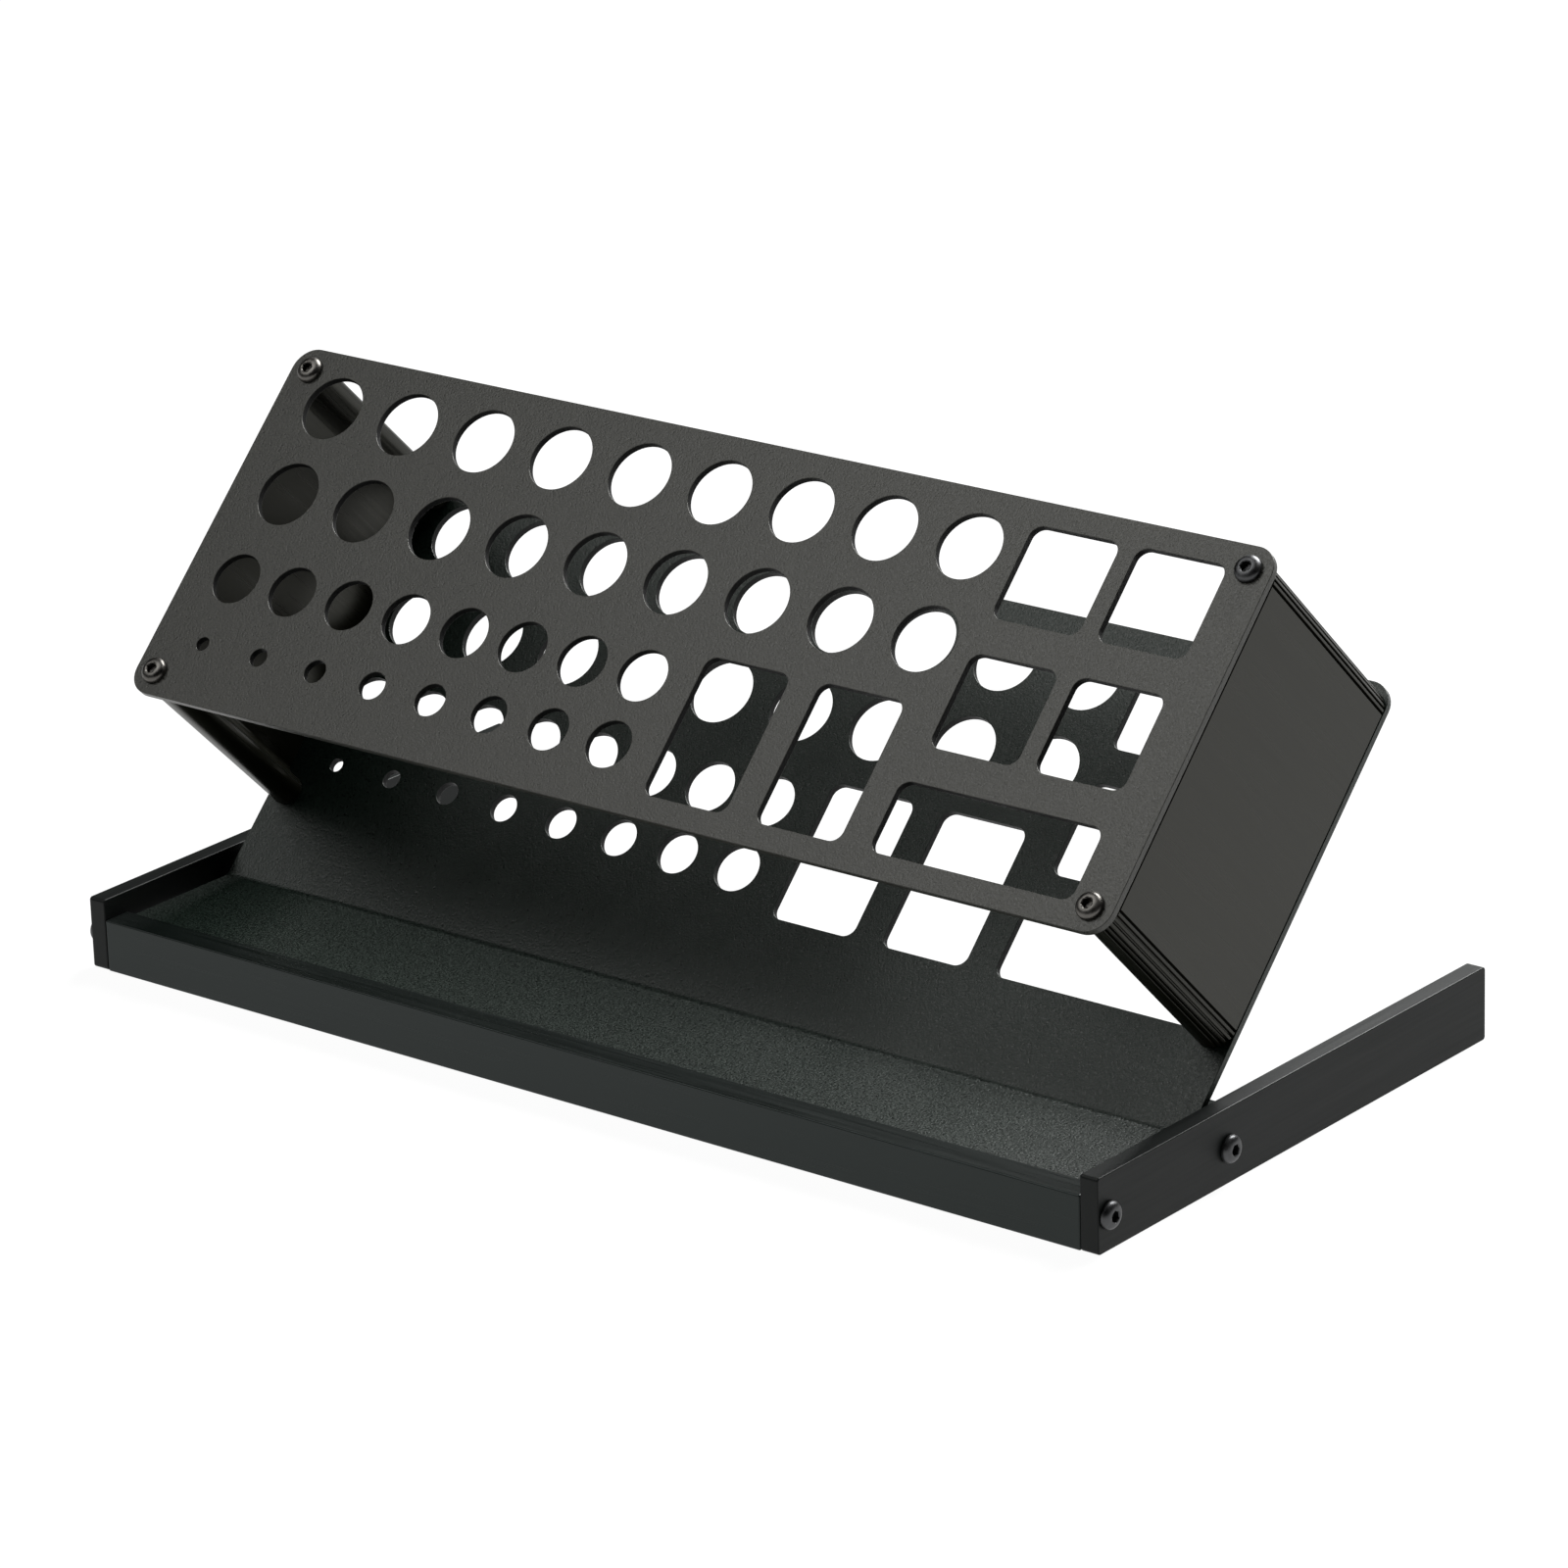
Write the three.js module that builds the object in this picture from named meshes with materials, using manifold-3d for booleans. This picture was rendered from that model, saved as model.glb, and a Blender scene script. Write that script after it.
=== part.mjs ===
// Desktop salon tool station: two perforated plates lean back at 45 degrees and hold the
// shafts of brushes, combs and shears, and a bent sheet under them makes a shallow tray.
// Millimetres, +Z up, +X along the station, the user stands on the -Y side.
// The origin is at the bottom centre of the whole station.

import * as THREE from 'three';
import { mergeVertices } from 'three/addons/utils/BufferGeometryUtils.js';
import Module from 'manifold-3d';

const wasm = await Module();
wasm.setup();

// ---- Driving dimensions ---------------------------------------------------------------

const GAP = 0.3; // clearance between pieces that meet inside the tilted frame
const SLIP = 0.1; // clearance between pieces that meet square to the axes
const SHEET = 1.5; // thickness of the plates and of the bent sheet
const TILT = Math.PI / 4; // lean of both perforated plates, from the horizontal

const BASE = { width: 250, depth: 125 };
const RAIL = { thickness: 4, height: 15, chamfer: 0.5, endRadius: 0.7 };
const PLATE = { width: 240, height: 80, corner: 5 };
const PLATE_SPACING = 50; // clear distance between the two perforated plates
const PLATE_TOE = { y: 9.15, z: 57.4 }; // front plate's lower outer edge, y from the base's front
const FLOOR_TOP = 10; // upper face of the tray floor
const BEND_RADIUS = 2; // inside radius of the fold between tray floor and slope

// Openings, seen from the front: x from the plate's centre, drop from its top edge.
const TOOL_HOLES = [
  { drop: 12, first: -105, pitch: 20, count: 9, diameter: () => 14, sides: 20 },
  { drop: 32, first: -105, pitch: 20, count: 9, diameter: () => 14, sides: 20 },
  { drop: 52, first: -107, pitch: 15, count: 8, diameter: () => 11, sides: 16 },
  { drop: 67, first: -107, pitch: 15, count: 8, diameter: (i) => 3 + i, sides: 12 },
];
const WINDOW_CORNER = 2.5;
const WINDOWS = [
  { left: 66.5, right: 86.5, top: 5, bottom: 25 },
  { left: 90.5, right: 110.5, top: 5, bottom: 25 },
  { left: 66.5, right: 86.5, top: 32.5, bottom: 52.5 },
  { left: 90.5, right: 110.5, top: 32.5, bottom: 52.5 },
  { left: 10.5, right: 30.5, top: 45, bottom: 75 },
  { left: 37.5, right: 57.5, top: 45, bottom: 75 },
  { left: 64.5, right: 110.5, top: 60, bottom: 75 },
];

// M3 button-head screws with a hexagon socket.
const SCREW = { head: 5.6, headHeight: 1.65, rim: 0.35, shank: 2.9, length: 8, sides: 16 };
const SOCKET = { flats: 2, depth: 1 };
const SCREW_INSET = 5; // plate screw centre from the plate's edges
const SCREW_HOLE = 3.4; // clearance hole in plates and side rails
const SCREW_PORT = 3.1; // bore that runs along each extrusion
const HOLE_SIDES = 12;

// End panel section: flat outer web, grooved round corners and round screw bosses.
const PANEL = { web: 2.2, corner: 4.2, inset: 2, boss: 3 };
const GROOVE = { count: 5, first: 0, pitch: 1.13, width: 0.6, floor: 0.3, depth: 0.8 };

// Front rail section, with a slot behind its upper lip for the tray floor.
const FRONT_RAIL = { depth: 6.3, height: 10.85, edge: 0.4, slot: 1.4 };

// Cross bar section: a flat seat under the floor and a slanted one behind the slope.
const CROSS_BAR = { front: 31, back: 46, bottom: 2.5, top: 13, edge: 0.8 };

// Screw axes in the side rails: distance from the base's front, and height.
const FRONT_PORT = { y: 3.2, z: 7 };
const REAR_PORT = { y: 40.3, z: 6.9 };

const LOOKS = {
  plate: { color: 0x3a3a38, roughness: 0.62, metalness: 0.35 },
  sheet: { color: 0x343a39, roughness: 0.62, metalness: 0.35 },
  panel: { color: 0x444542, roughness: 0.5, metalness: 0.45 },
  rail: { color: 0x3e4143, roughness: 0.5, metalness: 0.45 },
  screw: { color: 0x6a6764, roughness: 0.35, metalness: 0.9 },
};

// ---- Outlines -------------------------------------------------------------------------

// Points on an arc, from one angle to another in a number of equal steps.
function arc(x, y, radius, from, to, steps) {
  return Array.from({ length: steps + 1 }, (_, i) => {
    const angle = from + ((to - from) * i) / steps;
    return [x + radius * Math.cos(angle), y + radius * Math.sin(angle)];
  });
}

function circle(x, y, diameter, sides) {
  const lastAngle = 2 * Math.PI * (1 - 1 / sides);
  return arc(x, y, diameter / 2, 0, lastAngle, sides - 1);
}

function roundedBox(left, bottom, right, top, radius, steps) {
  const quarter = Math.PI / 2;
  const corner = (x, y, turn) => arc(x, y, radius, turn * quarter, (turn + 1) * quarter, steps);
  return [
    ...corner(right - radius, top - radius, 0),
    ...corner(left + radius, top - radius, 1),
    ...corner(left + radius, bottom + radius, 2),
    ...corner(right - radius, bottom + radius, 3),
  ];
}

function mirrored(outline) {
  return outline.map(([x, y]) => [-x, y]).reverse();
}

// ---- Solids ---------------------------------------------------------------------------

function toVectors(outline) {
  return outline.map(([x, y]) => new THREE.Vector2(x, y));
}

// Extrudes an outline, less its holes, along +Z.
function extrude(outline, holes, depth) {
  const shape = new THREE.Shape(toVectors(outline));
  shape.holes = holes.map((hole) => new THREE.Path(toVectors(hole)));
  return new THREE.ExtrudeGeometry(shape, { depth, bevelEnabled: false });
}

// Extrudes an outline drawn in the (y, z) plane along X, centred on x = 0.
function extrudeAlongX(outline, holes, length) {
  const bar = extrude(outline, holes, length);
  bar.translate(0, 0, -length / 2);
  bar.rotateX(Math.PI / 2);
  bar.rotateZ(Math.PI / 2);
  return bar;
}

function toSolid(geometry) {
  const bare = geometry.clone();
  bare.deleteAttribute('normal');
  bare.deleteAttribute('uv');
  const merged = mergeVertices(bare, 1e-4);
  return new wasm.Manifold(new wasm.Mesh({
    numProp: 3,
    vertProperties: merged.attributes.position.array,
    triVerts: merged.index.array,
  }));
}

function cut(base, cutters) {
  const solid = cutters.reduce((rest, cutter) => rest.subtract(toSolid(cutter)), toSolid(base));
  const { vertProperties, triVerts } = solid.getMesh();
  const geometry = new THREE.BufferGeometry();
  geometry.setAttribute('position', new THREE.BufferAttribute(vertProperties, 3));
  geometry.setIndex(new THREE.BufferAttribute(triVerts, 1));
  geometry.computeVertexNormals();
  return geometry;
}

function piece(name, geometry, look) {
  const mesh = new THREE.Mesh(geometry, new THREE.MeshStandardMaterial(LOOKS[look]));
  mesh.name = name;
  return mesh;
}

// ---- Screws ---------------------------------------------------------------------------

// The head points along +Z and its underside lies on z = 0.
function screw(name) {
  const { head, headHeight, rim, shank, length, sides } = SCREW;
  const crownSteps = 3;
  const crown = Array.from({ length: crownSteps + 1 }, (_, i) => {
    const angle = (i / crownSteps) * (Math.PI / 2) * 0.86;
    return new THREE.Vector2((head / 2) * Math.cos(angle), rim + (headHeight - rim) * Math.sin(angle));
  });
  const profile = [
    new THREE.Vector2(0, -length),
    new THREE.Vector2(shank / 2 - 0.3, -length),
    new THREE.Vector2(shank / 2, -length + 0.3),
    new THREE.Vector2(shank / 2, 0),
    new THREE.Vector2(head / 2, 0),
    ...crown,
    new THREE.Vector2(0, headHeight),
  ];
  const turned = new THREE.LatheGeometry(profile, sides);
  turned.rotateX(Math.PI / 2);
  const acrossCorners = SOCKET.flats / Math.cos(Math.PI / 6);
  const socket = extrude(circle(0, 0, acrossCorners, 6), [], 2 * SOCKET.depth);
  socket.translate(0, 0, headHeight - SOCKET.depth);
  return piece(name, cut(turned, [socket]), 'screw');
}

// ---- Leaning plates and end panels ----------------------------------------------------
// The tilted frame starts at the centre of the front plate's outer face. Its Y axis runs up
// the plate and its Z axis out of the plate, towards the user.

const HALF_WIDTH = PLATE.width / 2;
const HALF_HEIGHT = PLATE.height / 2;
const SINE = Math.sin(TILT);
const COSINE = Math.cos(TILT);
const SCREW_X = HALF_WIDTH - SCREW_INSET;
const SCREW_Y = HALF_HEIGHT - SCREW_INSET;
const REAR_FACE = -(SHEET + PLATE_SPACING); // the rear sheet's front face, on the tilted Z axis

const BASE_FRONT = -BASE.depth / 2;
const fromFront = (y) => BASE_FRONT + y;

const CORNERS = [
  { name: 'upper_left', x: -SCREW_X, y: SCREW_Y },
  { name: 'upper_right', x: SCREW_X, y: SCREW_Y },
  { name: 'lower_left', x: -SCREW_X, y: -SCREW_Y },
  { name: 'lower_right', x: SCREW_X, y: -SCREW_Y },
];

function plateOpenings() {
  const rounds = TOOL_HOLES.flatMap(({ drop, first, pitch, count, diameter, sides }) => (
    Array.from({ length: count }, (_, i) => (
      circle(first + i * pitch, HALF_HEIGHT - drop, diameter(i), sides)
    ))
  ));
  const windows = WINDOWS.map(({ left, right, top, bottom }) => (
    roundedBox(left, HALF_HEIGHT - bottom, right, HALF_HEIGHT - top, WINDOW_CORNER, 3)
  ));
  const screwHoles = CORNERS.map(({ x, y }) => circle(x, y, SCREW_HOLE, HOLE_SIDES));
  return [...rounds, ...windows, ...screwHoles];
}

// Cutters that reach through one thickness of sheet whose middle lies at the given height.
function throughCutters(outlines, middle) {
  const reach = 4 * SHEET;
  return outlines.map((outline) => {
    const cutter = extrude(outline, [], reach);
    cutter.translate(0, 0, middle - reach / 2);
    return cutter;
  });
}

function frontPlate() {
  const outline = roundedBox(
    -HALF_WIDTH, -HALF_HEIGHT, HALF_WIDTH, HALF_HEIGHT, PLATE.corner, 5,
  );
  const cutters = throughCutters(plateOpenings(), -SHEET / 2);
  const blank = extrude(outline, [], SHEET);
  blank.translate(0, 0, -SHEET);
  return piece('front_plate', cut(blank, cutters), 'plate');
}

// A point on the right end panel's outline near its upper corner. The distance is measured
// along the outline from where the flat web turns into the corner, and depth goes inwards.
function cornerPoint(distance, depth) {
  const centreX = HALF_WIDTH - PANEL.corner;
  const centreY = HALF_HEIGHT - PANEL.inset - PANEL.corner;
  const angle = Math.max(distance, 0) / PANEL.corner;
  const radius = PANEL.corner - depth;
  const drop = Math.min(distance, 0);
  return [centreX + radius * Math.cos(angle), centreY + drop + radius * Math.sin(angle)];
}

function panelOutline() {
  const grooves = Array.from({ length: GROOVE.count }, (_, i) => {
    const middle = GROOVE.first + i * GROOVE.pitch;
    return [
      cornerPoint(middle - GROOVE.width / 2, 0),
      cornerPoint(middle - GROOVE.floor / 2, GROOVE.depth),
      cornerPoint(middle + GROOVE.floor / 2, GROOVE.depth),
      cornerPoint(middle + GROOVE.width / 2, 0),
    ];
  }).flat();
  const boss = arc(SCREW_X, SCREW_Y, PANEL.boss, Math.PI / 2, 1.55 * Math.PI, 9);
  const innerX = HALF_WIDTH - PANEL.web;
  const fillet = [innerX, SCREW_Y - PANEL.boss - 1.6];
  const upper = [...grooves, cornerPoint((PANEL.corner * Math.PI) / 2, 0), ...boss, fillet];
  const lower = upper.map(([x, y]) => [x, -y]).reverse();
  return [...upper, ...lower];
}

// The section runs along the tilted Z axis, from plate to plate.
function endPanel(name, side) {
  const outline = side > 0 ? panelOutline() : mirrored(panelOutline());
  const ports = [SCREW_Y, -SCREW_Y].map((y) => circle(side * SCREW_X, y, SCREW_PORT, HOLE_SIDES));
  const length = PLATE_SPACING - 2 * GAP;
  const panel = piece(name, extrude(outline, ports, length), 'panel');
  panel.position.z = REAR_FACE + GAP;
  return panel;
}

// Screws sit on the front plate's outer face and on the rear sheet's back face.
function plateScrews() {
  return CORNERS.flatMap(({ name, x, y }) => {
    const front = screw(`front_screw_${name}`);
    front.position.set(x, y, SLIP);
    const rear = screw(`rear_screw_${name}`);
    rear.rotation.x = Math.PI;
    rear.position.set(x, y, REAR_FACE - SHEET - SLIP);
    return [front, rear];
  });
}

function tiltedFrame() {
  const frame = new THREE.Group();
  frame.rotation.x = TILT;
  frame.position.set(
    0,
    fromFront(PLATE_TOE.y) + HALF_HEIGHT * COSINE,
    PLATE_TOE.z + HALF_HEIGHT * SINE,
  );
  frame.updateMatrixWorld();
  return frame;
}

// ---- Bent sheet: perforated back, plain slope and tray floor in one piece ---------------

// The rear sheet's front face at the height of the front plate's lower edge.
const SLOPE_TOE = { y: PLATE_TOE.y - REAR_FACE * SINE, z: PLATE_TOE.z + REAR_FACE * COSINE };
const SLOPE_RISE = SLOPE_TOE.z - SLOPE_TOE.y; // the slope's front face is z = y + SLOPE_RISE

function sheetProfile() {
  const top = {
    y: SLOPE_TOE.y + PLATE.height * COSINE,
    z: SLOPE_TOE.z + PLATE.height * SINE,
  };
  const foldY = FLOOR_TOP - SLOPE_RISE;
  const centreY = foldY - BEND_RADIUS * Math.tan(TILT / 2);
  const centreZ = FLOOR_TOP + BEND_RADIUS;
  const down = -Math.PI / 2;
  const inside = arc(centreY, centreZ, BEND_RADIUS, down, down + TILT, 5);
  const outside = arc(centreY, centreZ, BEND_RADIUS + SHEET, down + TILT, down, 5);
  const frontEdge = FRONT_RAIL.depth - FRONT_RAIL.slot + SLIP;
  return [
    [frontEdge, FLOOR_TOP - SHEET],
    ...outside.reverse(),
    [top.y + SHEET * SINE, top.z - SHEET * COSINE],
    [top.y, top.z],
    ...inside.reverse(),
    [frontEdge, FLOOR_TOP],
  ];
}

// Waste outside the sheet's round upper right corner, in the tilted frame.
function cornerWaste() {
  const spare = 3;
  const x = HALF_WIDTH - PLATE.corner;
  const y = HALF_HEIGHT - PLATE.corner;
  return [
    ...arc(x, y, PLATE.corner, 0, Math.PI / 2, 5).reverse(),
    [HALF_WIDTH, y - spare],
    [HALF_WIDTH + spare, y - spare],
    [HALF_WIDTH + spare, HALF_HEIGHT + spare],
    [x - spare, HALF_HEIGHT + spare],
    [x - spare, HALF_HEIGHT],
  ].reverse();
}

function rearSheet(frame) {
  const profile = sheetProfile().map(([y, z]) => [fromFront(y), z]);
  const sheet = extrudeAlongX(profile, [], PLATE.width);
  const waste = [cornerWaste(), mirrored(cornerWaste())];
  const cutters = throughCutters([...plateOpenings(), ...waste], REAR_FACE - SHEET / 2);
  cutters.forEach((cutter) => cutter.applyMatrix4(frame.matrixWorld));
  return piece('rear_sheet', cut(sheet, cutters), 'sheet');
}

// ---- Base: two side rails, a front rail and a cross bar under the fold ------------------

const RAIL_INSIDE = BASE.width / 2 - RAIL.thickness;
const BAR_LENGTH = 2 * (RAIL_INSIDE - SLIP);

// Waste above the chamfer along a side rail's upper edge, seen along the rail.
function chamferWaste() {
  const half = RAIL.thickness / 2;
  const spare = 1;
  return [
    [half - RAIL.chamfer - spare, RAIL.height + spare],
    [half + spare, RAIL.height - RAIL.chamfer - spare],
    [half + spare, RAIL.height + spare],
  ];
}

function sideRail(name, side) {
  const outline = roundedBox(
    BASE_FRONT, 0, BASE_FRONT + BASE.depth, RAIL.height, RAIL.endRadius, 3,
  );
  const ports = [FRONT_PORT, REAR_PORT].map(({ y, z }) => (
    circle(fromFront(y), z, SCREW_HOLE, HOLE_SIDES)
  ));
  const bar = extrudeAlongX(outline, ports, RAIL.thickness);
  const chamfers = [chamferWaste(), mirrored(chamferWaste())].map((waste) => {
    const cutter = extrude(waste, [], 2 * BASE.depth);
    cutter.rotateX(Math.PI / 2);
    cutter.translate(0, BASE.depth, 0);
    return cutter;
  });
  const rail = piece(name, cut(bar, chamfers), 'rail');
  rail.position.x = side * (BASE.width - RAIL.thickness) / 2;
  return rail;
}

// A bar between the side rails, with a screw port along its length.
function railBar(name, section, port) {
  const outline = section.map(([y, z]) => [fromFront(y), z]);
  const bore = circle(fromFront(port.y), port.z, SCREW_PORT, HOLE_SIDES);
  return piece(name, extrudeAlongX(outline, [bore], BAR_LENGTH), 'rail');
}

function frontRail() {
  const { depth, height, edge, slot } = FRONT_RAIL;
  const slotBottom = FLOOR_TOP - SHEET - SLIP;
  const slotTop = FLOOR_TOP + SLIP;
  const section = [
    [edge, 0],
    [depth, 0],
    [depth, slotBottom],
    [depth - slot, slotBottom],
    [depth - slot, slotTop],
    [depth, slotTop],
    [depth, height],
    [edge, height],
    [0, height - edge],
    [0, edge],
  ];
  return railBar('front_rail', section, FRONT_PORT);
}

function crossBar() {
  const { front, back, bottom, top, edge } = CROSS_BAR;
  const seat = FLOOR_TOP - SHEET - SLIP;
  const slantRise = SLOPE_RISE - (SHEET + GAP) / COSINE; // the slanted seat is z = y + slantRise
  const section = [
    [front, bottom + edge],
    [front + edge, bottom],
    [back - edge, bottom],
    [back, bottom + edge],
    [back, top - edge],
    [back - edge, top],
    [top - slantRise, top],
    [seat - slantRise, seat],
    [front, seat],
  ];
  return railBar('cross_bar', section, REAR_PORT);
}

function railScrews() {
  const sides = [{ name: 'left', side: -1 }, { name: 'right', side: 1 }];
  const ports = [{ name: 'front', port: FRONT_PORT }, { name: 'rear', port: REAR_PORT }];
  return sides.flatMap(({ name: sideName, side }) => ports.map(({ name, port }) => {
    const fastener = screw(`rail_screw_${sideName}_${name}`);
    fastener.rotation.y = side * (Math.PI / 2);
    fastener.position.set(side * (BASE.width / 2 + SLIP), fromFront(port.y), port.z);
    return fastener;
  }));
}

// ---- Assembly -------------------------------------------------------------------------

const tilted = tiltedFrame();
tilted.add(
  frontPlate(),
  endPanel('end_panel_left', -1),
  endPanel('end_panel_right', 1),
  ...plateScrews(),
);

const station = new THREE.Group();
station.add(
  tilted,
  rearSheet(tilted),
  sideRail('side_rail_left', -1),
  sideRail('side_rail_right', 1),
  frontRail(),
  crossBar(),
  ...railScrews(),
);

export default station;
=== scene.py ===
"""Looks of the desktop salon tool station: finely edged sheet, extrusions, screws and finishes.

Sizes are in millimetres and turned into metres when a mesh is written. X runs along the
station, Y away from the user and Z up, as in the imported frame.
"""

import math

import bmesh
import bpy
from mathutils import Matrix, Vector


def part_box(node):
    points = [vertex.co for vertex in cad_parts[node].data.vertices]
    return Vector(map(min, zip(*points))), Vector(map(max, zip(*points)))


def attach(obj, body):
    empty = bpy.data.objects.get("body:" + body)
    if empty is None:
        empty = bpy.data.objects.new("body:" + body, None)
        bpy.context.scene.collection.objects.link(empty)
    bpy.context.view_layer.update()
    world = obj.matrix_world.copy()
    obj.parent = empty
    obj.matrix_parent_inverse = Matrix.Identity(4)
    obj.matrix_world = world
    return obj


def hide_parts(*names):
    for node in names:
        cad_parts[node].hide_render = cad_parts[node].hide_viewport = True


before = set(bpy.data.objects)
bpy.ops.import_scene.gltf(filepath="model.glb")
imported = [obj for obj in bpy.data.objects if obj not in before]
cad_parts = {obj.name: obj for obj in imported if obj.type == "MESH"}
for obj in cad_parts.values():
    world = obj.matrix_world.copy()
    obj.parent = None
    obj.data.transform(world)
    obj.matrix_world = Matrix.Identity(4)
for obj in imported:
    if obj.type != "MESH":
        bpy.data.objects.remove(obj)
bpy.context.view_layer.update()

MM = 0.001
QUARTER = math.pi / 2

# ---- Driving dimensions ----------------------------------------------------------------

GAP = 0.3
SLIP = 0.1
SHEET = 1.5
TILT = math.radians(45)
BASE_WIDTH = 250
BASE_DEPTH = 125
PLATE_WIDTH = 240
PLATE_HEIGHT = 80
PLATE_CORNER = 5
PLATE_SPACING = 50
FLOOR_TOP = 10
BEND_RADIUS = 2
SCREW_INSET = 5
SCREW_HOLE = 3.4
SCREW_PORT = 3.1
HALF_WIDTH = PLATE_WIDTH / 2
HALF_HEIGHT = PLATE_HEIGHT / 2
SCREW_X = HALF_WIDTH - SCREW_INSET
SCREW_Y = HALF_HEIGHT - SCREW_INSET

# Rows of round holes: drop from the top edge, first centre, pitch, and each diameter.
HOLE_ROWS = (
    (12, -105, 20, [14] * 9),
    (32, -105, 20, [14] * 9),
    (52, -107, 15, [11] * 8),
    (67, -107, 15, range(3, 11)),
)

# Windows: left, right, and the drop of the upper and lower edges.
WINDOW_CORNER = 2.5
WINDOWS = (
    (66.5, 86.5, 5, 25),
    (90.5, 110.5, 5, 25),
    (66.5, 86.5, 32.5, 52.5),
    (90.5, 110.5, 32.5, 52.5),
    (10.5, 30.5, 45, 75),
    (37.5, 57.5, 45, 75),
    (64.5, 110.5, 60, 75),
)

# ---- Places taken from the frame --------------------------------------------------------


def millimetres(node):
    """Lowest and highest corner of a CAD node, in millimetres."""
    low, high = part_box(node)
    return low / MM, high / MM


plate_low = millimetres("front_plate")[0]
BASE_FRONT = millimetres("side_rail_left")[0].y
SINE = math.sin(TILT)
COSINE = math.cos(TILT)

# TILTED carries a drawing of the plates into place. In the drawing, Y runs up the slope, Z = 0
# is the front plate's outer face, and REAR_FACE is the Z of the rear sheet's upper face.
PLATE_TOE = Vector((0, plate_low.y, plate_low.z + SHEET * COSINE))
PLATE_CENTRE = Vector((0, plate_low.y + HALF_HEIGHT * COSINE, PLATE_TOE.z + HALF_HEIGHT * SINE))
REAR_FACE = -(SHEET + PLATE_SPACING)
TILTED = Matrix.Translation(PLATE_CENTRE) @ Matrix.Rotation(TILT, 4, "X")

# ---- Outlines ---------------------------------------------------------------------------
# An outline is a list of (x, y) that runs anticlockwise. prism() turns those of the holes
# round, so that the material always lies on the left.

STRAIGHT = math.radians(179)  # corners more open than this get no fillet
MITRE_LIMIT = 0.5  # least cosine, so that no corner moves more than twice the inset


def arc(x, y, radius, start, end, steps):
    turn = (end - start) / steps
    angles = [start + i * turn for i in range(steps + 1)]
    return [(x + radius * math.cos(a), y + radius * math.sin(a)) for a in angles]


def circle(x, y, diameter, steps):
    return arc(x, y, diameter / 2, 0, 2 * math.pi, steps)[:-1]


def filleted(corners, steps):
    """An outline from (x, y, radius) corners, each rounded by its own radius."""
    points = []
    count = len(corners)
    for i, (x, y, radius) in enumerate(corners):
        here = Vector((x, y))
        to_last = (Vector(corners[i - 1][:2]) - here).normalized()
        to_next = (Vector(corners[(i + 1) % count][:2]) - here).normalized()
        opening = to_last.angle(to_next)
        if radius == 0 or opening > STRAIGHT:
            points.append((x, y))
            continue
        reach = radius / math.tan(opening / 2)
        centre = here + (to_last + to_next).normalized() * (radius / math.sin(opening / 2))
        start = here + to_last * reach - centre
        sweep = math.pi - opening
        if to_last.x * to_next.y - to_last.y * to_next.x > 0:
            sweep = -sweep
        angle = math.atan2(start.y, start.x)
        points += arc(centre.x, centre.y, radius, angle, angle + sweep, steps)
    return points


def rounded_box(left, bottom, right, top, radius, steps):
    corners = ((right, top), (left, top), (left, bottom), (right, bottom))
    return filleted([(x, y, radius) for x, y in corners], steps)


def inset(outline, distance):
    """Moves an outline into the material by a distance."""
    moved = []
    count = len(outline)
    for i, point in enumerate(outline):
        before = Vector(point) - Vector(outline[i - 1])
        after = Vector(outline[(i + 1) % count]) - Vector(point)
        normal_before = Vector((-before.y, before.x)).normalized()
        normal_after = Vector((-after.y, after.x)).normalized()
        middle = (normal_before + normal_after).normalized()
        mitre = distance / max(middle.dot(normal_after), MITRE_LIMIT)
        moved.append(tuple(Vector(point) + middle * mitre))
    return moved


# ---- Meshes -----------------------------------------------------------------------------

EDGE_STEPS = 3


def prism(outline, holes, depth, edge):
    """A bmesh solid along Z from 0 to depth, with its rims rounded by edge.

    Face layers mark the flat caps and the straight walls of the holes.
    """
    solid = bmesh.new()
    for layer_name in ("cap", "bore"):
        solid.faces.layers.int.new(layer_name)
    cap_layer = solid.faces.layers.int["cap"]
    bore_layer = solid.faces.layers.int["bore"]
    angles = [QUARTER * i / EDGE_STEPS for i in range(EDGE_STEPS + 1)]
    lower = [(edge * (1 - math.sin(a)), edge * (1 - math.cos(a))) for a in angles]
    upper = [(margin, depth - height) for margin, height in reversed(lower)]
    cap_edges = ([], [])
    for number, loop in enumerate([outline, *[hole[::-1] for hole in holes]]):
        rings = []
        for margin, height in lower + upper:
            ring = [solid.verts.new((x, y, height)) for x, y in inset(loop, margin)]
            rings.append(ring)
        for level, (ring, following) in enumerate(zip(rings, rings[1:])):
            for i in range(len(ring)):
                wall = solid.faces.new((ring[i - 1], ring[i], following[i], following[i - 1]))
                wall[bore_layer] = number > 0 and level == EDGE_STEPS
        for side, ring in enumerate((rings[0], rings[-1])):
            for i in range(len(ring)):
                cap_edges[side].append(solid.edges.get((ring[i - 1], ring[i])))
    for side, edges in enumerate(cap_edges):
        filled = bmesh.ops.triangle_fill(
            solid, use_beauty=True, edges=edges, normal=(0, 0, 2 * side - 1))
        for face in filled["geom"]:
            if isinstance(face, bmesh.types.BMFace):
                face[cap_layer] = 1
    bmesh.ops.recalc_face_normals(solid, faces=solid.faces)
    return solid


def along_x(solid, length):
    """Turns a prism drawn in (y, z) to lie along X, centred on x = 0."""
    turn = Matrix(((0, 0, 1, -length / 2), (1, 0, 0, 0), (0, 1, 0, 0), (0, 0, 0, 1)))
    solid.transform(turn)
    return solid


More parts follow.
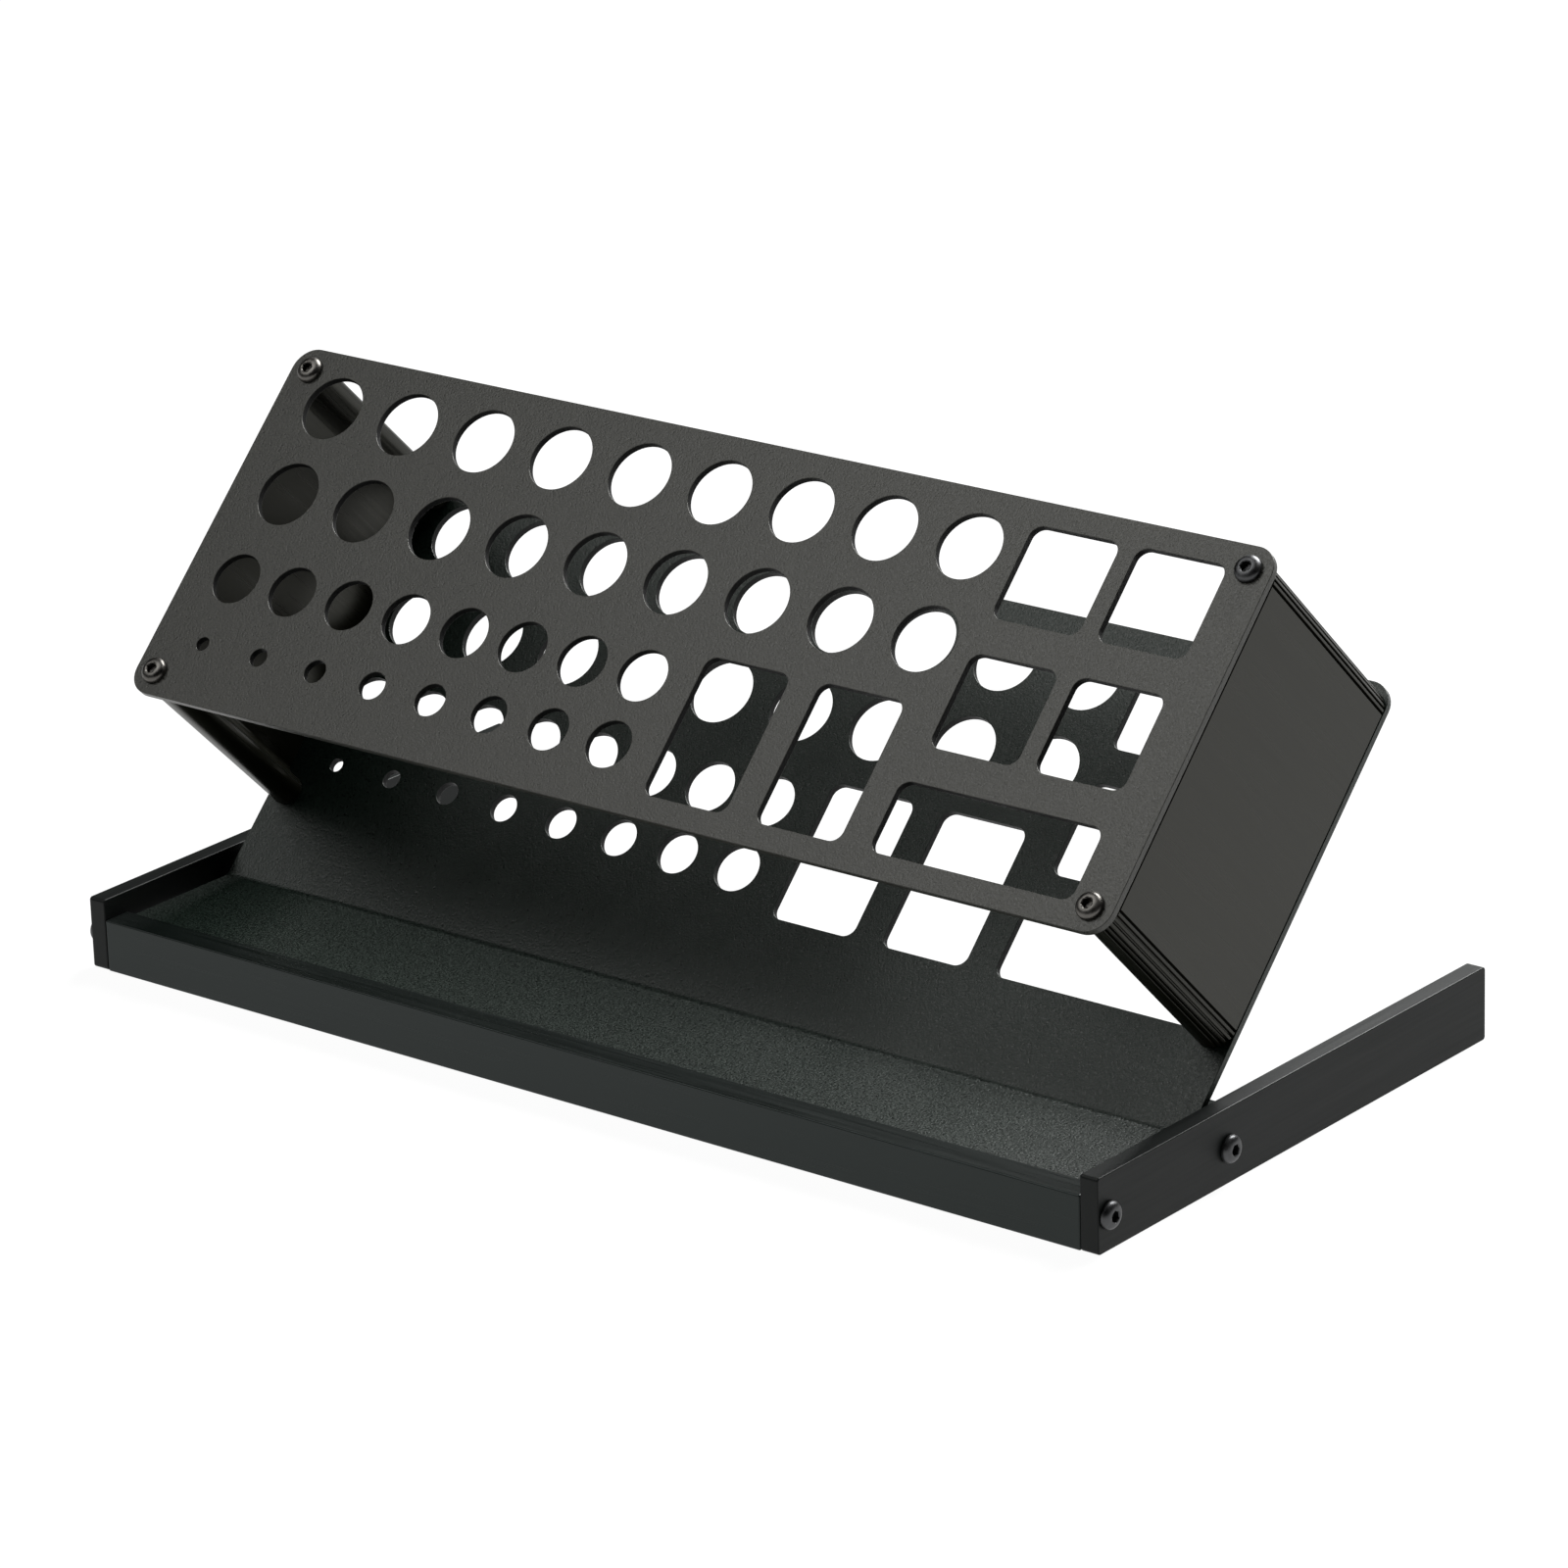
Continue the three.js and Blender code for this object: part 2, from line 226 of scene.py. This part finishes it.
def smooth_normals(mesh, caps):
    """Smooth shading in which flat caps and wide faces keep their own direction."""
    flat_weight = 1000
    sums = [Vector() for _ in mesh.vertices]
    for polygon, is_cap in zip(mesh.polygons, caps):
        weight = polygon.area * (flat_weight if is_cap else 1)
        for index in polygon.vertices:
            sums[index] += polygon.normal * weight
    mesh.polygons.foreach_set("use_smooth", [True] * len(mesh.polygons))
    mesh.normals_split_custom_set_from_vertices([s.normalized() for s in sums])


def add_piece(name, mesh, material, replaced):
    mesh.materials.append(material)
    piece = bpy.data.objects.new(name, mesh)
    bpy.context.scene.collection.objects.link(piece)
    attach(piece, "root")
    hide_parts(replaced)


def solid_piece(node, solid, material, bore_shade_material=None):
    """Writes a bmesh solid in millimetres as the piece that stands for a CAD node.

    The walls of its holes take the extra material, if one is given, which paints shade into them.
    """
    solid.transform(Matrix.Scale(MM, 4))
    mesh = bpy.data.meshes.new(f"fine_{node}")
    cap_layer = solid.faces.layers.int["cap"]
    bore_layer = solid.faces.layers.int["bore"]
    caps = [face[cap_layer] for face in solid.faces]
    bores = [face[bore_layer] for face in solid.faces]
    solid.to_mesh(mesh)
    solid.free()
    smooth_normals(mesh, caps)
    add_piece(f"fine_{node}", mesh, material, node)
    if bore_shade_material:
        mesh.materials.append(bore_shade_material)
        mesh.polygons.foreach_set("material_index", bores)


# ---- Materials --------------------------------------------------------------------------

NOISE_LOW = 0.3
NOISE_HIGH = 0.7

class Shader:
    """A material whose nodes are added one call at a time."""

    def __init__(self, name):
        self.material = bpy.data.materials.new(name)
        self.material.use_nodes = True
        self.tree = self.material.node_tree
        self.principled = self.tree.nodes["Principled BSDF"]
        self.position = self.add("ShaderNodeTexCoord").outputs["Object"]

    def add(self, kind, settings=None, **inputs):
        node = self.tree.nodes.new(kind)
        for key, value in (settings or {}).items():
            setattr(node, key, value)
        for key, value in inputs.items():
            socket = node.inputs[key.replace("_", " ")]
            if isinstance(value, bpy.types.NodeSocket):
                self.tree.links.new(value, socket)
            else:
                socket.default_value = value
        return node

    def noise(self, size, detail=2.0, vector=None, rough=0.5):
        """Noise whose features are about size millimetres across."""
        node = self.add(
            "ShaderNodeTexNoise", Vector=vector or self.position, Scale=1 / (size * MM),
            Detail=detail, Roughness=rough)
        return node.outputs["Fac"]

    def stretched(self, turn, stretch):
        """Position turned by Euler angles and then squeezed along some of its axes."""
        turned = self.add("ShaderNodeMapping", Vector=self.position, Rotation=turn)
        squeezed = self.add("ShaderNodeMapping", Vector=turned.outputs[0], Scale=stretch)
        return squeezed.outputs[0]

    def between(self, noise, low, high):
        """Spreads the middle of a noise's range over low to high, and stops at those."""
        node = self.add(
            "ShaderNodeMapRange", Value=noise, From_Min=NOISE_LOW, From_Max=NOISE_HIGH,
            To_Min=low, To_Max=high)
        return node.outputs[0]

    def tint(self, colour, factor):
        """The colour multiplied by a varying factor."""
        node = self.add("ShaderNodeVectorMath", {"operation": "SCALE"}, Scale=factor)
        node.inputs[0].default_value = colour
        return node.outputs[0]

    def product(self, first, second):
        node = self.add("ShaderNodeMath", {"operation": "MULTIPLY"})
        self.tree.links.new(first, node.inputs[0])
        self.tree.links.new(second, node.inputs[1])
        return node.outputs[0]

    def set(self, **values):
        for key, value in values.items():
            socket = self.principled.inputs[key.replace("_", " ")]
            if isinstance(value, bpy.types.NodeSocket):
                self.tree.links.new(value, socket)
            else:
                socket.default_value = value

    def bump(self, height, depth, under=None):
        """A bump whose full height is depth millimetres."""
        node = self.add("ShaderNodeBump", Height=height, Distance=depth * MM, Strength=1.0)
        if under is not None:
            self.tree.links.new(under, node.inputs["Normal"])
        return node.outputs[0]


def powder_coat(name, colour, roughness, specular, tint):
    """Fine-textured black powder coat: close grain, faint mottling, soft orange peel."""
    shader = Shader(name)
    grain = shader.noise(0.45)
    mottle = shader.noise(6, detail=4)
    speckle = shader.between(grain, 0.3, 1.8)
    cloud = shader.between(mottle, 0.93, 1.07)
    shader.set(
        Base_Color=shader.tint(colour, shader.product(speckle, cloud)),
        Roughness=shader.between(grain, roughness - 0.09, roughness + 0.09),
        Metallic=0.0,
        IOR=1.5,
        Specular_IOR_Level=specular,
        Specular_Tint=(*tint, 1),
    )
    peel = shader.bump(shader.noise(1.6), 0.03)
    shader.set(Normal=shader.bump(grain, 0.07, under=peel))
    return shader.material


def anodised(name, colour, roughness, specular, tint, turn, stretch):
    """Black anodised extrusion: faint draw lines along its length and a close satin grain."""
    shader = Shader(name)
    lines = shader.noise(0.8, detail=4, vector=shader.stretched(turn, stretch), rough=0.65)
    grain = shader.noise(0.3)
    mottle = shader.noise(9, detail=4)
    streak = shader.product(shader.between(lines, 0.86, 1.14), shader.between(grain, 0.92, 1.08))
    cloud = shader.between(mottle, 0.95, 1.05)
    shader.set(
        Base_Color=shader.tint(colour, shader.product(streak, cloud)),
        Roughness=shader.between(lines, roughness - 0.05, roughness + 0.06),
        Metallic=0.0,
        IOR=1.5,
        Specular_IOR_Level=specular,
        Specular_Tint=(*tint, 1),
    )
    drawn = shader.bump(lines, 0.004)
    shader.set(Normal=shader.bump(grain, 0.004, under=drawn))
    return shader.material


def burnished_steel(name, colour, roughness):
    """Dark burnished steel: rubbed patches, fine scratches and a slightly uneven gloss."""
    shader = Shader(name)
    rubbed = shader.noise(1.8, detail=4, rough=0.6)
    fine = shader.noise(0.12)
    shader.set(
        Base_Color=shader.tint(colour, shader.between(rubbed, 0.7, 1.25)),
        Roughness=shader.between(rubbed, roughness - 0.08, roughness + 0.12),
        Metallic=1.0,
    )
    shader.set(Normal=shader.bump(fine, 0.004))
    return shader.material


LENGTHWAYS = 0.02  # noise is scaled by this along a bar, so its lines run lengthways
plate_coat = powder_coat(
    "plate_coat", colour=(0.0185, 0.0185, 0.0155), roughness=0.36, specular=0.48,
    tint=(1, 1, 0.95))
sheet_coat = powder_coat(
    "sheet_coat", colour=(0.0012, 0.0042, 0.0025), roughness=0.36, specular=0.40,
    tint=(0.95, 1, 0.95))
# Hole walls: a darker, duller coat than the faces, which paints the shade inside the holes.
bore_shade_coat = powder_coat(
    "bore_shade_coat", colour=(0.0030, 0.0032, 0.0030), roughness=0.50, specular=0.12,
    tint=(1, 1, 1))
panel_finish = anodised(
    "panel_finish", colour=(0.0022, 0.0022, 0.0010), roughness=0.30, specular=0.285,
    tint=(1, 1, 0.85), turn=(-TILT, 0, 0), stretch=(1, 1, LENGTHWAYS))
rail_finish = anodised(
    "rail_finish", colour=(0.0055, 0.0070, 0.0064), roughness=0.45, specular=0.155,
    tint=(1, 1, 1), turn=(0, 0, 0), stretch=(1, LENGTHWAYS, 1))
bar_finish = anodised(
    "bar_finish", colour=(0.0020, 0.0034, 0.0028), roughness=0.30, specular=0.31,
    tint=(0.88, 1, 0.97), turn=(0, 0, 0), stretch=(LENGTHWAYS, 1, 1))
bright_steel = burnished_steel("bright_steel", colour=(0.115, 0.110, 0.102), roughness=0.34)
dark_steel = burnished_steel("dark_steel", colour=(0.075, 0.076, 0.078), roughness=0.38)

# ---- Perforated plates ------------------------------------------------------------------

HOLE_STEPS = 56
SMALL_HOLE_STEPS = 32
CORNER_STEPS = 10
COAT_EDGE = 0.12


def tool_openings():
    rounds = [
        circle(first + i * pitch, HALF_HEIGHT - drop, diameter, HOLE_STEPS)
        for drop, first, pitch, diameters in HOLE_ROWS
        for i, diameter in enumerate(diameters)
    ]
    windows = [
        rounded_box(
            left, HALF_HEIGHT - lower, right, HALF_HEIGHT - upper, WINDOW_CORNER, CORNER_STEPS)
        for left, right, upper, lower in WINDOWS
    ]
    return rounds + windows


def corner_places():
    for row, y in (("upper", SCREW_Y), ("lower", -SCREW_Y)):
        for side, x in (("left", -SCREW_X), ("right", SCREW_X)):
            yield f"{row}_{side}", x, y


def screw_holes():
    return [circle(x, y, SCREW_HOLE, SMALL_HOLE_STEPS) for _, x, y in corner_places()]


def front_plate():
    outline = rounded_box(
        -HALF_WIDTH, -HALF_HEIGHT, HALF_WIDTH, HALF_HEIGHT, PLATE_CORNER, CORNER_STEPS)
    solid = prism(outline, tool_openings() + screw_holes(), SHEET, COAT_EDGE)
    solid.transform(TILTED @ Matrix.Translation((0, 0, -SHEET)))
    solid_piece("front_plate", solid, plate_coat, bore_shade_coat)


# ---- Bent sheet -------------------------------------------------------------------------
# It is made flat, with Y up the slope from the middle of the perforated part and Z from the
# back face to the front face, and is then folded about a line along X.

rear_origin = TILTED @ Vector((0, 0, REAR_FACE))
SLOPE_RISE = rear_origin.z - rear_origin.y
FOLD_Y = FLOOR_TOP - SLOPE_RISE
SETBACK = BEND_RADIUS * math.tan(TILT / 2)
BEND_CENTRE = Vector((0, FOLD_Y - SETBACK, FLOOR_TOP + BEND_RADIUS))
BEND_LENGTH = BEND_RADIUS * TILT
BEND_TOP = -((rear_origin.z - FLOOR_TOP) / SINE) + SETBACK
BEND_CUTS = 10
CUT_TOLERANCE = 1e-5


def folded(point):
    """Where a point of the flat sheet lies once the sheet is folded."""
    below = BEND_TOP - point.y
    lift = point.z - SHEET
    if below <= 0:
        return TILTED @ Vector((point.x, point.y, REAR_FACE + lift))
    angle = TILT * (1 - min(below / BEND_LENGTH, 1))
    radius = BEND_RADIUS - lift
    run = max(below - BEND_LENGTH, 0)
    return Vector((
        point.x,
        BEND_CENTRE.y + radius * math.sin(angle) - run,
        BEND_CENTRE.z - radius * math.cos(angle),
    ))


def rear_sheet():
    floor_edge = millimetres("rear_sheet")[0].y
    floor_length = BEND_CENTRE.y - floor_edge
    foot = BEND_TOP - BEND_LENGTH - floor_length
    sharp = 0.4
    outline = filleted((
        (HALF_WIDTH, HALF_HEIGHT, PLATE_CORNER),
        (-HALF_WIDTH, HALF_HEIGHT, PLATE_CORNER),
        (-HALF_WIDTH, foot, sharp),
        (HALF_WIDTH, foot, sharp),
    ), CORNER_STEPS)
    solid = prism(outline, tool_openings() + screw_holes(), SHEET, COAT_EDGE)
    for i in range(BEND_CUTS + 1):
        height = BEND_TOP - BEND_LENGTH * i / BEND_CUTS
        everything = [*solid.verts, *solid.edges, *solid.faces]
        bmesh.ops.bisect_plane(
            solid, geom=everything, dist=CUT_TOLERANCE, plane_co=(0, height, 0),
            plane_no=(0, 1, 0))
    for vertex in solid.verts:
        vertex.co = folded(vertex.co)
    solid_piece("rear_sheet", solid, sheet_coat, bore_shade_coat)


# ---- End panels -------------------------------------------------------------------------

WEB = 2.2
PANEL_CORNER = 4.2
PANEL_INSET = 2
BOSS = 3
GROOVES = 5
GROOVE_PITCH = 1.13
GROOVE_WIDTH = 0.6
GROOVE_FLOOR = 0.3
GROOVE_DEPTH = 0.8
PANEL_EDGE = 0.08


def corner_point(distance, depth):
    """A point near the upper corner, at a distance along it from the end of the web."""
    centre_x = HALF_WIDTH - PANEL_CORNER
    centre_y = HALF_HEIGHT - PANEL_INSET - PANEL_CORNER
    angle = max(distance, 0) / PANEL_CORNER
    radius = PANEL_CORNER - depth
    drop = min(distance, 0)
    return centre_x + radius * math.cos(angle), centre_y + drop + radius * math.sin(angle)


def panel_outline():
    """Section of the right end panel: web, grooved corners and screw bosses."""
    lip = 0.09
    root = 0.06
    boss_end = 1.55 * math.pi
    boss_foot = 1.6
    foot_fillet = 1.2
    boss_steps = 20
    rest_steps = 4
    upper = []
    for i in range(GROOVES):
        middle = i * GROOVE_PITCH
        upper.append((*corner_point(middle - GROOVE_WIDTH / 2, 0), lip))
        upper.append((*corner_point(middle - GROOVE_FLOOR / 2, GROOVE_DEPTH), root))
        upper.append((*corner_point(middle + GROOVE_FLOOR / 2, GROOVE_DEPTH), root))
        upper.append((*corner_point(middle + GROOVE_WIDTH / 2, 0), lip))
    last = GROOVES * GROOVE_PITCH
    rest = PANEL_CORNER * QUARTER - last
    for i in range(rest_steps + 1):
        upper.append((*corner_point(last + rest * i / rest_steps, 0), 0))
    boss = arc(SCREW_X, SCREW_Y, BOSS, QUARTER, boss_end, boss_steps)
    upper += [(x, y, 0) for x, y in boss]
    upper.append((HALF_WIDTH - WEB, SCREW_Y - BOSS - boss_foot, foot_fillet))
    lower = [(x, -y, radius) for x, y, radius in reversed(upper)]
    return filleted(upper + lower, 3)


def end_panel(side, sign):
    outline = panel_outline()
    if sign < 0:
        outline = [(-x, y) for x, y in reversed(outline)]
    ports = [circle(sign * SCREW_X, y, SCREW_PORT, SMALL_HOLE_STEPS) for y in (SCREW_Y, -SCREW_Y)]
    solid = prism(outline, ports, PLATE_SPACING - 2 * GAP, PANEL_EDGE)
    solid.transform(TILTED @ Matrix.Translation((0, 0, REAR_FACE + GAP)))
    solid_piece(f"end_panel_{side}", solid, panel_finish)


# ---- Base -------------------------------------------------------------------------------

RAIL_THICKNESS = 4
RAIL_HEIGHT = 15
RAIL_CORNER = 0.7
RAIL_CORNER_STEPS = 8
RAIL_EDGE = 0.25
BAR_EDGE = 0.35
BAR_LENGTH = 2 * (BASE_WIDTH / 2 - RAIL_THICKNESS - SLIP)
FRONT_RAIL_DEPTH = 6.3
FRONT_RAIL_HEIGHT = 10.85
SLOT = 1.4
PORTS = {"front": (3.2, 7.0), "rear": (40.3, 6.9)}


def side_rail(side, sign):
    """A flat bar on edge, with small rounds at its four corners and along its edges."""
    outline = rounded_box(
        BASE_FRONT, 0, BASE_FRONT + BASE_DEPTH, RAIL_HEIGHT, RAIL_CORNER, RAIL_CORNER_STEPS)
    ports = [circle(BASE_FRONT + y, z, SCREW_HOLE, SMALL_HOLE_STEPS) for y, z in PORTS.values()]
    solid = along_x(prism(outline, ports, RAIL_THICKNESS, RAIL_EDGE), RAIL_THICKNESS)
    solid.transform(Matrix.Translation((sign * (BASE_WIDTH - RAIL_THICKNESS) / 2, 0, 0)))
    solid_piece(f"side_rail_{side}", solid, rail_finish)


def bar(node, corners, port):
    """A bar between the side rails, from (y, z, radius) corners, y from the base's front."""
    outline = filleted([(BASE_FRONT + y, z, radius) for y, z, radius in corners], 5)
    bore = circle(BASE_FRONT + port[0], port[1], SCREW_PORT, SMALL_HOLE_STEPS)
    solid = along_x(prism(outline, [bore], BAR_LENGTH, BAR_EDGE), BAR_LENGTH)
    solid_piece(node, solid, bar_finish)


def front_rail():
    foot_edge, lip_edge, slot_edge, top_edge = 0.3, 0.15, 0.1, 0.35
    slot_floor = FLOOR_TOP - SHEET - SLIP
    slot_roof = FLOOR_TOP + SLIP
    slot_back = FRONT_RAIL_DEPTH - SLOT
    bar("front_rail", (
        (0, 0, foot_edge),
        (FRONT_RAIL_DEPTH, 0, foot_edge),
        (FRONT_RAIL_DEPTH, slot_floor, lip_edge),
        (slot_back, slot_floor, slot_edge),
        (slot_back, slot_roof, slot_edge),
        (FRONT_RAIL_DEPTH, slot_roof, slot_edge),
        (FRONT_RAIL_DEPTH, FRONT_RAIL_HEIGHT, top_edge),
        (0, FRONT_RAIL_HEIGHT, top_edge),
    ), PORTS["front"])


def cross_bar():
    front, back, bottom, top = 31, 46, 2.5, 13
    edge, seat_edge = 0.8, 0.2
    seat = FLOOR_TOP - SHEET - SLIP
    slant_rise = SLOPE_RISE + BASE_FRONT - (SHEET + GAP) / COSINE
    bar("cross_bar", (
        (front, bottom, edge),
        (back, bottom, edge),
        (back, top, edge),
        (top - slant_rise, top, seat_edge),
        (seat - slant_rise, seat, seat_edge),
        (front, seat, seat_edge),
    ), PORTS["rear"])


# ---- Screws -----------------------------------------------------------------------------

HEAD_RADIUS = 2.75
HEAD_HEIGHT = 1.53
HEAD_RIM = 0.3
CROWN_RADIUS = 1.25
CROWN_STEPS = 14
CHAMFER_RUN = 0.15
CHAMFER_RISE = 0.12
SHANK_RADIUS = 1.45
SCREW_LENGTH = 8
TIP_RADIUS = 0.9
TIP_TAPER = 0.5
NECK = 0.1
THREAD_START = 0.8
THREAD_PITCH = 0.5
THREAD_DEPTH = 0.12
THREAD_TURNS = 12
SOCKET_FLATS = 2
SOCKET_MOUTH = 0.16
SOCKET_DEPTH = 1.25
SOCKET_CONE = 0.25
SCREW_STEPS = 60
SCREW_SHARP = math.radians(38)


def hexagon(angle):
    """Distance from the socket's axis to its flats, at an angle."""
    sixth = math.pi / 3
    return SOCKET_FLATS / 2 / math.cos((angle % sixth) - sixth / 2)


def screw_rings():
    """(radius, height) of each ring from the shank's tip to the socket's floor."""
    rings = [(TIP_RADIUS, -SCREW_LENGTH), (SHANK_RADIUS, -SCREW_LENGTH + TIP_TAPER)]
    for i in range(THREAD_TURNS):
        height = -SCREW_LENGTH + THREAD_START + i * THREAD_PITCH
        rings.append((SHANK_RADIUS - THREAD_DEPTH, height))
        rings.append((SHANK_RADIUS, height + THREAD_PITCH / 2))
    rings.append((SHANK_RADIUS, -NECK))
    rings.append((HEAD_RADIUS - CHAMFER_RUN, 0))
    rings.append((HEAD_RADIUS, CHAMFER_RISE))
    for i in range(CROWN_STEPS):
        angle = QUARTER * i / CROWN_STEPS
        rings.append((
            CROWN_RADIUS + (HEAD_RADIUS - CROWN_RADIUS) * math.cos(angle),
            HEAD_RIM + (HEAD_HEIGHT - HEAD_RIM) * math.sin(angle),
        ))
    rings.append((CROWN_RADIUS, HEAD_HEIGHT))
    return rings


def screw(node, place, material):
    """A button-head screw whose head points along Z at place."""
    solid = bmesh.new()
    angles = [2 * math.pi * i / SCREW_STEPS for i in range(SCREW_STEPS)]
    loops = [[(radius, height)] * SCREW_STEPS for radius, height in screw_rings()]
    top = HEAD_HEIGHT
    for height in (top - SOCKET_MOUTH, top - SOCKET_DEPTH):
        loops.append([(hexagon(a), height) for a in angles])
    rings = [
        [solid.verts.new((r * math.cos(a), r * math.sin(a), z)) for a, (r, z) in zip(angles, loop)]
        for loop in loops
    ]
    for ring, following in zip(rings, rings[1:]):
        for i in range(SCREW_STEPS):
            solid.faces.new((ring[i - 1], ring[i], following[i], following[i - 1]))
    tips = (
        (rings[0], -SCREW_LENGTH),
        (rings[-1], top - SOCKET_DEPTH - SOCKET_CONE),
    )
    for ring, height in tips:
        tip = solid.verts.new((0, 0, height))
        for i in range(SCREW_STEPS):
            solid.faces.new((ring[i - 1], ring[i], tip))
    bmesh.ops.recalc_face_normals(solid, faces=solid.faces)
    solid.transform(Matrix.Scale(MM, 4) @ place)
    mesh = bpy.data.meshes.new(f"fine_{node}")
    solid.to_mesh(mesh)
    solid.free()
    mesh.polygons.foreach_set("use_smooth", [True] * len(mesh.polygons))
    mesh.set_sharp_from_angle(angle=SCREW_SHARP)
    add_piece(f"fine_{node}", mesh, material, node)


def plate_screws():
    """Corner screws of both plates. Each stops at its own angle, which comes from its place."""
    rear_seat = REAR_FACE - SHEET - SLIP
    backwards = Matrix.Rotation(math.pi, 4, "X")
    for name, x, y in corner_places():
        turn = Matrix.Rotation(x + y, 4, "Z")
        finish = dark_steel if name == "upper_right" else bright_steel
        screw(f"front_screw_{name}", TILTED @ Matrix.Translation((x, y, SLIP)) @ turn, finish)
        behind = Matrix.Translation((x, y, rear_seat)) @ backwards
        screw(f"rear_screw_{name}", TILTED @ behind @ turn, dark_steel)


def rail_screws():
    """Screws through the side rails into the bars between them."""
    for side, sign in (("left", -1), ("right", 1)):
        for end, (y, z) in PORTS.items():
            place = Matrix.Translation((sign * (BASE_WIDTH / 2 + SLIP), BASE_FRONT + y, z))
            outwards = Matrix.Rotation(sign * QUARTER, 4, "Y")
            turn = Matrix.Rotation(y, 4, "Z")
            screw(f"rail_screw_{side}_{end}", place @ outwards @ turn, dark_steel)


# ---- Studio -----------------------------------------------------------------------------

CAMERA_AZIMUTH = math.radians(39.47)
CAMERA_ELEVATION = math.radians(20.01)
CAMERA_ROLL = math.radians(-1.88)
CAMERA_DISTANCE = 1.3476
CAMERA_TARGET = Vector((0.00623, -0.0025, 0.04761))
CAMERA_LENS = 160.2
CAMERA_SENSOR = 36


def studio_camera():
    data = bpy.data.cameras.new("camera")
    data.lens = CAMERA_LENS
    data.sensor_width = CAMERA_SENSOR
    camera = bpy.data.objects.new("camera", data)
    level = math.cos(CAMERA_ELEVATION)
    back = Vector((
        math.sin(CAMERA_AZIMUTH) * level,
        -math.cos(CAMERA_AZIMUTH) * level,
        math.sin(CAMERA_ELEVATION),
    ))
    aim = (-back).to_track_quat("-Z", "Y").to_matrix().to_4x4()
    place = Matrix.Translation(CAMERA_TARGET + back * CAMERA_DISTANCE)
    camera.matrix_world = place @ aim @ Matrix.Rotation(CAMERA_ROLL, 4, "Z")
    bpy.context.scene.collection.objects.link(camera)
    bpy.context.scene.camera = camera


LIGHT_TARGET = Vector((0, 0, 0.06))
LIGHT_DISTANCE = 1.3
LIGHT_SIZE = 0.8


def towards(azimuth, elevation):
    """Unit vector from degrees: azimuth from the front round to the right, then elevation."""
    turn = math.radians(azimuth)
    lift = math.radians(elevation)
    return Vector((
        math.sin(turn) * math.cos(lift), -math.cos(turn) * math.cos(lift), math.sin(lift)))


def softbox(name, azimuth, elevation, power):
    """A square soft light of a power in watts, aimed at the station."""
    data = bpy.data.lights.new(name, "AREA")
    data.shape = "SQUARE"
    data.size = LIGHT_SIZE
    data.energy = power
    light = bpy.data.objects.new(name, data)
    direction = towards(azimuth, elevation)
    light.location = LIGHT_TARGET + direction * LIGHT_DISTANCE
    light.rotation_euler = (-direction).to_track_quat("-Z", "Y").to_euler()
    bpy.context.scene.collection.objects.link(light)


def studio_lights():
    softbox("back", 180, 45, 48)
    softbox("front_left", 315, 45, 3.6)
    softbox("high_left", 315, 67, 3.8)


def studio_world():
    """White behind the floor for the camera, and dark to everything else."""
    world = bpy.data.worlds.new("dark_room")
    world.use_nodes = True
    nodes = world.node_tree.nodes
    background = nodes["Background"]
    background.inputs["Color"].default_value = (1, 1, 1, 1)
    seen = nodes.new("ShaderNodeLightPath").outputs["Is Camera Ray"]
    world.node_tree.links.new(seen, background.inputs["Strength"])
    bpy.context.scene.world = world
    bpy.context.scene.view_settings.view_transform = "Standard"


def studio_floor():
    """A pale floor that gives off its own even light, so that shadows on it are faint."""
    half = 8
    grey = (0.04, 0.04, 0.04)
    mesh = bpy.data.meshes.new("studio_floor")
    corners = [(x * half, y * half, 0) for x, y in ((-1, -1), (1, -1), (1, 1), (-1, 1))]
    mesh.from_pydata(corners, [], [(0, 1, 2, 3)])
    shader = Shader("lit_paper")
    tone = shader.between(shader.noise(40), 0.98, 1.0)
    shader.set(
        Base_Color=shader.tint(grey, tone),
        Roughness=0.9,
        Emission_Color=(1, 1, 1, 1),
        Emission_Strength=0.95,
    )
    mesh.materials.append(shader.material)
    floor = bpy.data.objects.new("studio_floor", mesh)
    bpy.context.scene.collection.objects.link(floor)


# ---- Scene ------------------------------------------------------------------------------

studio_camera()
studio_world()
studio_lights()
studio_floor()
front_plate()
rear_sheet()
front_rail()
cross_bar()
for side_name, side_sign in (("left", -1), ("right", 1)):
    end_panel(side_name, side_sign)
    side_rail(side_name, side_sign)
plate_screws()
rail_screws()
